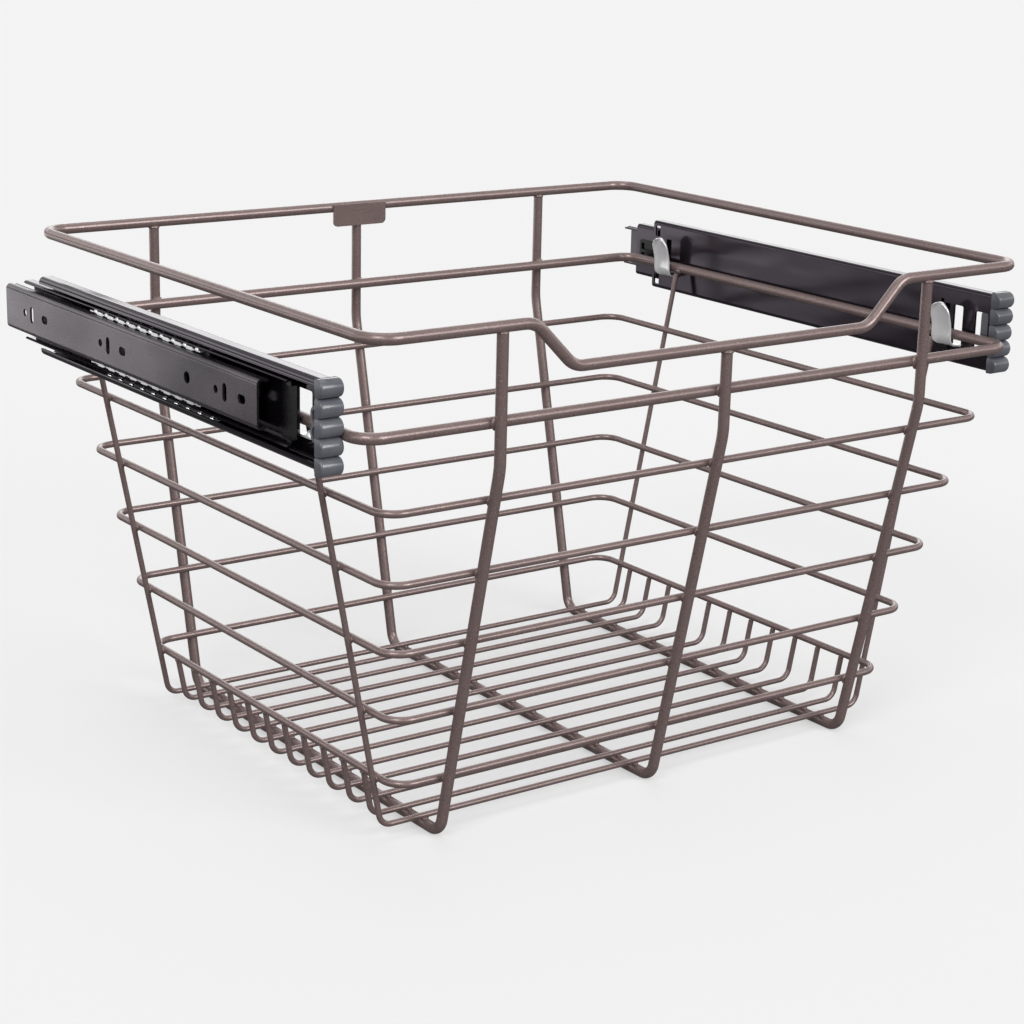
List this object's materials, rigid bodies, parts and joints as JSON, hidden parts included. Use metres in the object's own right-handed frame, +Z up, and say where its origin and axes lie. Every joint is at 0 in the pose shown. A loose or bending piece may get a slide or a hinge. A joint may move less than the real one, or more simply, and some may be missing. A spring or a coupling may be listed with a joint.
{
  "type": "pull out cabinet basket",
  "caption": "Rectangular tapered wire basket with a lowered front rim, hung between full-extension ball-bearing slides that screw to a cabinet's sides.",
  "frame": {"origin": "on the surface under the feet, at the middle of the whole object's box", "axes": "+X to the right seen from the lowered front, -Y the way the basket pulls out, +Z up"},
  "size_m": [0.4616, 0.37, 0.282],
  "materials": {
    "bronze_coat": "satin dark bronze powder coat",
    "tag_plate": "satin dark bronze powder coat on a thin plate",
    "black_enamel": "glossy black electro-coat",
    "dark_rail": "satin black electro-coat",
    "zinc": "bright zinc plate",
    "ball_steel": "polished bearing steel",
    "hook_zinc": "bright nickel plate with soft reflections",
    "dark_plastic": "satin dark grey moulding",
    "black_plastic": "satin black moulding"
  },
  "bodies": {
    "cabinet_rails": {"left_cabinet_rail": "dark_rail", "right_cabinet_rail": "dark_rail"},
    "middle_rails": {"left_middle_rail": "black_enamel", "left_end_stop": "black_plastic", "right_middle_rail": "black_enamel", "right_end_stop": "black_plastic"},
    "inner_cages": {"left_inner_cage": "zinc", "left_inner_balls": "ball_steel", "right_inner_cage": "zinc", "right_inner_balls": "ball_steel"},
    "outer_cages": {"left_outer_cage": "zinc", "left_outer_balls": "ball_steel", "right_outer_cage": "zinc", "right_outer_balls": "ball_steel"},
    "basket": {"top_rim": "bronze_coat", "slide_ring": "bronze_coat", "side_ring_1": "bronze_coat", "side_ring_2": "bronze_coat", "side_ring_3": "bronze_coat", "side_ring_4": "bronze_coat", "side_ring_5": "bronze_coat", "left_u_wire": "bronze_coat", "middle_u_wire": "bronze_coat", "right_u_wire": "bronze_coat", "front_floor_wire": "bronze_coat", "rear_floor_wire": "bronze_coat", "floor_wire_1": "bronze_coat", "floor_wire_2": "bronze_coat", "floor_wire_3": "bronze_coat", "floor_wire_4": "bronze_coat", "floor_wire_5": "bronze_coat", "floor_wire_6": "bronze_coat", "floor_wire_7": "bronze_coat", "floor_wire_8": "bronze_coat", "floor_wire_9": "bronze_coat", "floor_wire_10": "bronze_coat", "floor_wire_11": "bronze_coat", "tag_plate": "tag_plate", "left_channel": "black_enamel", "left_front_hook": "hook_zinc", "left_rear_hook": "hook_zinc", "left_bumper": "dark_plastic", "left_catch": "dark_plastic", "right_channel": "black_enamel", "right_front_hook": "hook_zinc", "right_rear_hook": "hook_zinc", "right_bumper": "dark_plastic", "right_catch": "dark_plastic"}
  },
  "joints": [
    {"name": "basket_slide", "type": "slide", "parent": "cabinet_rails", "child": "basket", "axis": [0, -1, 0], "range_m": [-0.046, 0.244]},
    {"name": "middle_rail_slide", "type": "slide", "parent": "cabinet_rails", "child": "middle_rails", "axis": [0, -1, 0], "range_m": [-0.0231, 0.1221]},
    {"name": "inner_cage_slide", "type": "slide", "parent": "cabinet_rails", "child": "inner_cages", "axis": [0, -1, 0], "range_m": [-0.0116, 0.0611]},
    {"name": "outer_cage_slide", "type": "slide", "parent": "cabinet_rails", "child": "outer_cages", "axis": [0, -1, 0], "range_m": [-0.0346, 0.1831]}
  ],
  "couplings": [
    {"joint": "middle_rail_slide", "follows": "basket_slide", "ratio": 0.5},
    {"joint": "inner_cage_slide", "follows": "basket_slide", "ratio": 0.25},
    {"joint": "outer_cage_slide", "follows": "basket_slide", "ratio": 0.75}
  ]
}
